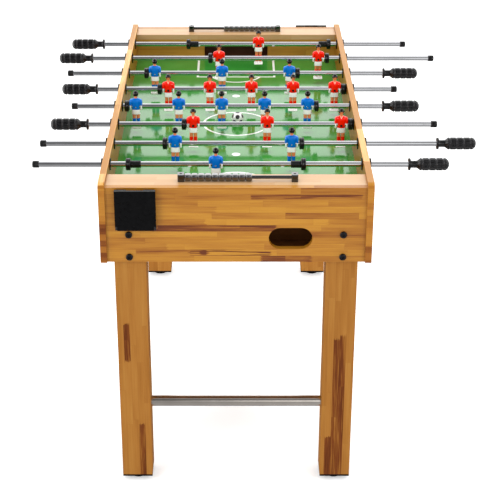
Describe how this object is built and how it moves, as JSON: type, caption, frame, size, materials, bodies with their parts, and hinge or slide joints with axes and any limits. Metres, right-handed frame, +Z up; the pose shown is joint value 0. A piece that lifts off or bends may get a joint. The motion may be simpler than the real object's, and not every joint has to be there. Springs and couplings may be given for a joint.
{
  "type": "foosball table",
  "caption": "Foosball table with a laminated-wood cabinet on four square legs, sliding and spinning chrome rods with moulded men, bead scorers, cup trays and a ball.",
  "frame": {"origin": "on the floor, at the level of the levelers' undersides, below the middle of the cabinet", "axes": "+X along the rods, +Y along the length of the table away from the near end panel (the one with its ball slot at +X), +Z up"},
  "size_m": [1.0635, 1.2376, 0.8209],
  "materials": {
    "side_panels": "satin lacquer",
    "end_panels": "satin lacquer",
    "top_rails": "satin lacquer",
    "inner_boards": "satin lacquer",
    "playfield": "glossy printed laminate with white lines",
    "legs": "satin lacquer",
    "leg_caps": "moulded",
    "leveler_1": "moulded",
    "leveler_2": "moulded",
    "leveler_3": "moulded",
    "leveler_4": "moulded",
    "cross_bars": "polished",
    "leg_bolts": "black oxide",
    "bearing_housings": "moulded",
    "black_fittings": "moulded",
    "score_beads_near": "moulded",
    "score_beads_far": "moulded",
    "cup_tray_near": "satin moulded",
    "cup_tray_far": "satin moulded",
    "ball": "glossy, black spots",
    "rod_1_tube": "polished",
    "rod_1_men": "moulded and painted, blue shirts",
    "rod_1_handle": "moulded grip",
    "rod_1_bumpers": "moulded",
    "rod_1_sleeves": "moulded",
    "rod_2_tube": "polished",
    "rod_2_men": "moulded and painted, blue shirts",
    "rod_2_handle": "moulded grip",
    "rod_2_bumpers": "moulded",
    "rod_2_sleeves": "moulded",
    "rod_3_tube": "polished",
    "rod_3_men": "moulded and painted, red shirts",
    "rod_3_handle": "moulded grip",
    "rod_3_bumpers": "moulded",
    "rod_3_sleeves": "moulded",
    "rod_4_tube": "polished",
    "rod_4_men": "moulded and painted, blue shirts",
    "rod_4_handle": "moulded grip",
    "rod_4_bumpers": "moulded",
    "rod_4_sleeves": "moulded",
    "rod_5_tube": "polished",
    "rod_5_men": "moulded and painted, red shirts",
    "rod_5_handle": "moulded grip",
    "rod_5_bumpers": "moulded",
    "rod_5_sleeves": "moulded",
    "rod_6_tube": "polished",
    "rod_6_men": "moulded and painted, blue shirts",
    "rod_6_handle": "moulded grip",
    "rod_6_bumpers": "moulded",
    "rod_6_sleeves": "moulded",
    "rod_7_tube": "polished",
    "rod_7_men": "moulded and painted, red shirts",
    "rod_7_handle": "moulded grip",
    "rod_7_bumpers": "moulded",
    "rod_7_sleeves": "moulded",
    "rod_8_tube": "polished",
    "rod_8_men": "moulded and painted, red shirts",
    "rod_8_handle": "moulded grip",
    "rod_8_bumpers": "moulded",
    "rod_8_sleeves": "moulded"
  },
  "bodies": {
    "cabinet": {"side_panels": "side_panels", "end_panels": "end_panels", "top_rails": "top_rails", "inner_boards": "inner_boards", "playfield": "playfield", "legs": "legs", "leg_caps": "leg_caps", "cross_bars": "cross_bars", "leg_bolts": "leg_bolts", "bearing_housings": "bearing_housings", "black_fittings": "black_fittings"},
    "rod_1_bearing": {"rod_1_sleeves": "rod_1_sleeves"},
    "rod_1": {"rod_1_tube": "rod_1_tube", "rod_1_men": "rod_1_men", "rod_1_handle": "rod_1_handle", "rod_1_bumpers": "rod_1_bumpers"},
    "rod_2_bearing": {"rod_2_sleeves": "rod_2_sleeves"},
    "rod_2": {"rod_2_tube": "rod_2_tube", "rod_2_men": "rod_2_men", "rod_2_handle": "rod_2_handle", "rod_2_bumpers": "rod_2_bumpers"},
    "rod_3_bearing": {"rod_3_sleeves": "rod_3_sleeves"},
    "rod_3": {"rod_3_tube": "rod_3_tube", "rod_3_men": "rod_3_men", "rod_3_handle": "rod_3_handle", "rod_3_bumpers": "rod_3_bumpers"},
    "rod_4_bearing": {"rod_4_sleeves": "rod_4_sleeves"},
    "rod_4": {"rod_4_tube": "rod_4_tube", "rod_4_men": "rod_4_men", "rod_4_handle": "rod_4_handle", "rod_4_bumpers": "rod_4_bumpers"},
    "rod_5_bearing": {"rod_5_sleeves": "rod_5_sleeves"},
    "rod_5": {"rod_5_tube": "rod_5_tube", "rod_5_men": "rod_5_men", "rod_5_handle": "rod_5_handle", "rod_5_bumpers": "rod_5_bumpers"},
    "rod_6_bearing": {"rod_6_sleeves": "rod_6_sleeves"},
    "rod_6": {"rod_6_tube": "rod_6_tube", "rod_6_men": "rod_6_men", "rod_6_handle": "rod_6_handle", "rod_6_bumpers": "rod_6_bumpers"},
    "rod_7_bearing": {"rod_7_sleeves": "rod_7_sleeves"},
    "rod_7": {"rod_7_tube": "rod_7_tube", "rod_7_men": "rod_7_men", "rod_7_handle": "rod_7_handle", "rod_7_bumpers": "rod_7_bumpers"},
    "rod_8_bearing": {"rod_8_sleeves": "rod_8_sleeves"},
    "rod_8": {"rod_8_tube": "rod_8_tube", "rod_8_men": "rod_8_men", "rod_8_handle": "rod_8_handle", "rod_8_bumpers": "rod_8_bumpers"},
    "leveler_1": {"leveler_1": "leveler_1"},
    "leveler_2": {"leveler_2": "leveler_2"},
    "leveler_3": {"leveler_3": "leveler_3"},
    "leveler_4": {"leveler_4": "leveler_4"},
    "beads_near": {"score_beads_near": "score_beads_near"},
    "beads_far": {"score_beads_far": "score_beads_far"},
    "tray_near": {"cup_tray_near": "cup_tray_near"},
    "tray_far": {"cup_tray_far": "cup_tray_far"},
    "ball": {"ball": "ball"}
  },
  "joints": [
    {"name": "rod_1_spin", "type": "hinge", "parent": "cabinet", "child": "rod_1_bearing", "pos_m": [0, -0.4536, 0.78], "axis": [1, 0, 0], "continuous": true},
    {"name": "rod_1_slide", "type": "slide", "parent": "rod_1_bearing", "child": "rod_1", "axis": [1, 0, 0], "range_m": [-0.0338, 0.1266]},
    {"name": "rod_2_spin", "type": "hinge", "parent": "cabinet", "child": "rod_2_bearing", "pos_m": [0, -0.324, 0.78], "axis": [1, 0, 0], "continuous": true},
    {"name": "rod_2_slide", "type": "slide", "parent": "rod_2_bearing", "child": "rod_2", "axis": [1, 0, 0], "range_m": [-0.1123, 0.1251]},
    {"name": "rod_3_spin", "type": "hinge", "parent": "cabinet", "child": "rod_3_bearing", "pos_m": [0, -0.1944, 0.78], "axis": [1, 0, 0], "continuous": true},
    {"name": "rod_3_slide", "type": "slide", "parent": "rod_3_bearing", "child": "rod_3", "axis": [1, 0, 0], "range_m": [-0.1532, 0]},
    {"name": "rod_4_spin", "type": "hinge", "parent": "cabinet", "child": "rod_4_bearing", "pos_m": [0, -0.0648, 0.78], "axis": [1, 0, 0], "continuous": true},
    {"name": "rod_4_slide", "type": "slide", "parent": "rod_4_bearing", "child": "rod_4", "axis": [1, 0, 0], "range_m": [-0.0039, 0.0769]},
    {"name": "rod_5_spin", "type": "hinge", "parent": "cabinet", "child": "rod_5_bearing", "pos_m": [0, 0.0648, 0.78], "axis": [1, 0, 0], "continuous": true},
    {"name": "rod_5_slide", "type": "slide", "parent": "rod_5_bearing", "child": "rod_5", "axis": [1, 0, 0], "range_m": [-0.0808, 0]},
    {"name": "rod_6_spin", "type": "hinge", "parent": "cabinet", "child": "rod_6_bearing", "pos_m": [0, 0.1944, 0.78], "axis": [1, 0, 0], "continuous": true},
    {"name": "rod_6_slide", "type": "slide", "parent": "rod_6_bearing", "child": "rod_6", "axis": [1, 0, 0], "range_m": [-0.0387, 0.1145]},
    {"name": "rod_7_spin", "type": "hinge", "parent": "cabinet", "child": "rod_7_bearing", "pos_m": [0, 0.324, 0.78], "axis": [1, 0, 0], "continuous": true},
    {"name": "rod_7_slide", "type": "slide", "parent": "rod_7_bearing", "child": "rod_7", "axis": [1, 0, 0], "range_m": [-0.2096, 0.0278]},
    {"name": "rod_8_spin", "type": "hinge", "parent": "cabinet", "child": "rod_8_bearing", "pos_m": [0, 0.4536, 0.78], "axis": [1, 0, 0], "continuous": true},
    {"name": "rod_8_slide", "type": "slide", "parent": "rod_8_bearing", "child": "rod_8", "axis": [1, 0, 0], "range_m": [-0.1447, 0.0157]},
    {"name": "leveler_1_turn", "type": "hinge", "parent": "cabinet", "child": "leveler_1", "pos_m": [-0.24, -0.5545, 0.03], "axis": [0, 0, 1], "continuous": true},
    {"name": "leveler_2_turn", "type": "hinge", "parent": "cabinet", "child": "leveler_2", "pos_m": [0.24, -0.5545, 0.03], "axis": [0, 0, 1], "continuous": true},
    {"name": "leveler_3_turn", "type": "hinge", "parent": "cabinet", "child": "leveler_3", "pos_m": [-0.24, 0.5545, 0.03], "axis": [0, 0, 1], "continuous": true},
    {"name": "leveler_4_turn", "type": "hinge", "parent": "cabinet", "child": "leveler_4", "pos_m": [0.24, 0.5545, 0.03], "axis": [0, 0, 1], "continuous": true},
    {"name": "beads_near_slide", "type": "slide", "parent": "cabinet", "child": "beads_near", "axis": [1, 0, 0], "range_m": [0, 0.087]},
    {"name": "beads_far_slide", "type": "slide", "parent": "cabinet", "child": "beads_far", "axis": [-1, 0, 0], "range_m": [0, 0.087]},
    {"name": "tray_near_hinge", "type": "hinge", "parent": "cabinet", "child": "tray_near", "pos_m": [-0.223, -0.611, 0.6915], "axis": [1, 0, 0], "range_deg": [0, 90]},
    {"name": "tray_far_hinge", "type": "hinge", "parent": "cabinet", "child": "tray_far", "pos_m": [0.223, 0.611, 0.6955], "axis": [-1, 0, 0], "range_deg": [0, 90]},
    {"name": "ball_lift", "type": "slide", "parent": "cabinet", "child": "ball", "axis": [0, 0, 1], "range_m": [0, 0.2]}
  ]
}
